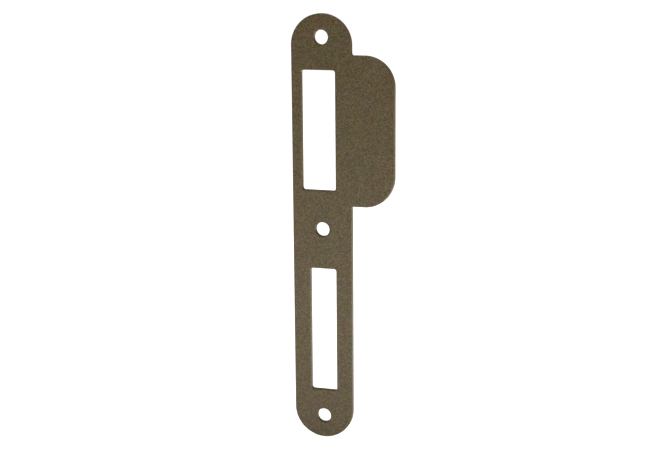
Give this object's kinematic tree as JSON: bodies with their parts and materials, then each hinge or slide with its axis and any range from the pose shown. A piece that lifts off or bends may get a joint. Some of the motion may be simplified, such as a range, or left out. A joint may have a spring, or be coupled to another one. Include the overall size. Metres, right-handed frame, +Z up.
{
  "type": "door strike plate",
  "caption": "Flat steel strike plate with round ends, a side lip, a tall latch opening beside the lip, a bolt opening below and plain screw holes, in textured bronze-brown paint.",
  "frame": {"origin": "centre of the middle screw hole, on the flat back that seats on the door frame", "axes": "+Z up along the plate as it is fitted, +X towards the lip, +Y into the door frame, so the front looks along -Y"},
  "size_m": [0.0413, 0.002, 0.17],
  "materials": {
    "bronze_coat": "satin"
  },
  "bodies": {
    "root": {"strike_plate": "bronze_coat"}
  },
  "joints": []
}
